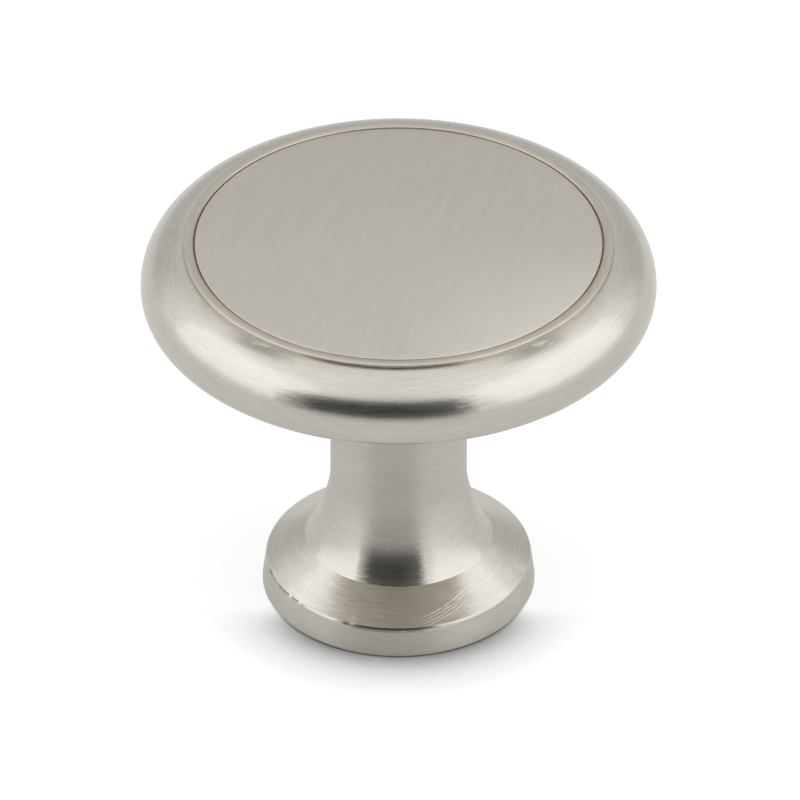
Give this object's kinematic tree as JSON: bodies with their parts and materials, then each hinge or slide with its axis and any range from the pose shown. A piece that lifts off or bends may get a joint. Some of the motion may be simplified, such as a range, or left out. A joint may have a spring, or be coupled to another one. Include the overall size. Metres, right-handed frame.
{
  "type": "cabinet knob",
  "caption": "Round cabinet knob: flat face framed by a fine bead and a rolled rim, on a straight neck that flares to a foot with a blind tapped screw hole in its base.",
  "frame": {"origin": "centre of the base face, on the knob's axis", "axes": "+Z along the knob's axis, from the base towards the face; +X and +Y are free, as the knob is round"},
  "size_m": [0.0318, 0.0318, 0.0254],
  "materials": {
    "satin_nickel": "satin nickel plate over cast zinc, finely brushed: straight on the face, around the axis on the rim, neck and foot"
  },
  "bodies": {
    "root": {"knob": "satin_nickel"}
  },
  "joints": []
}
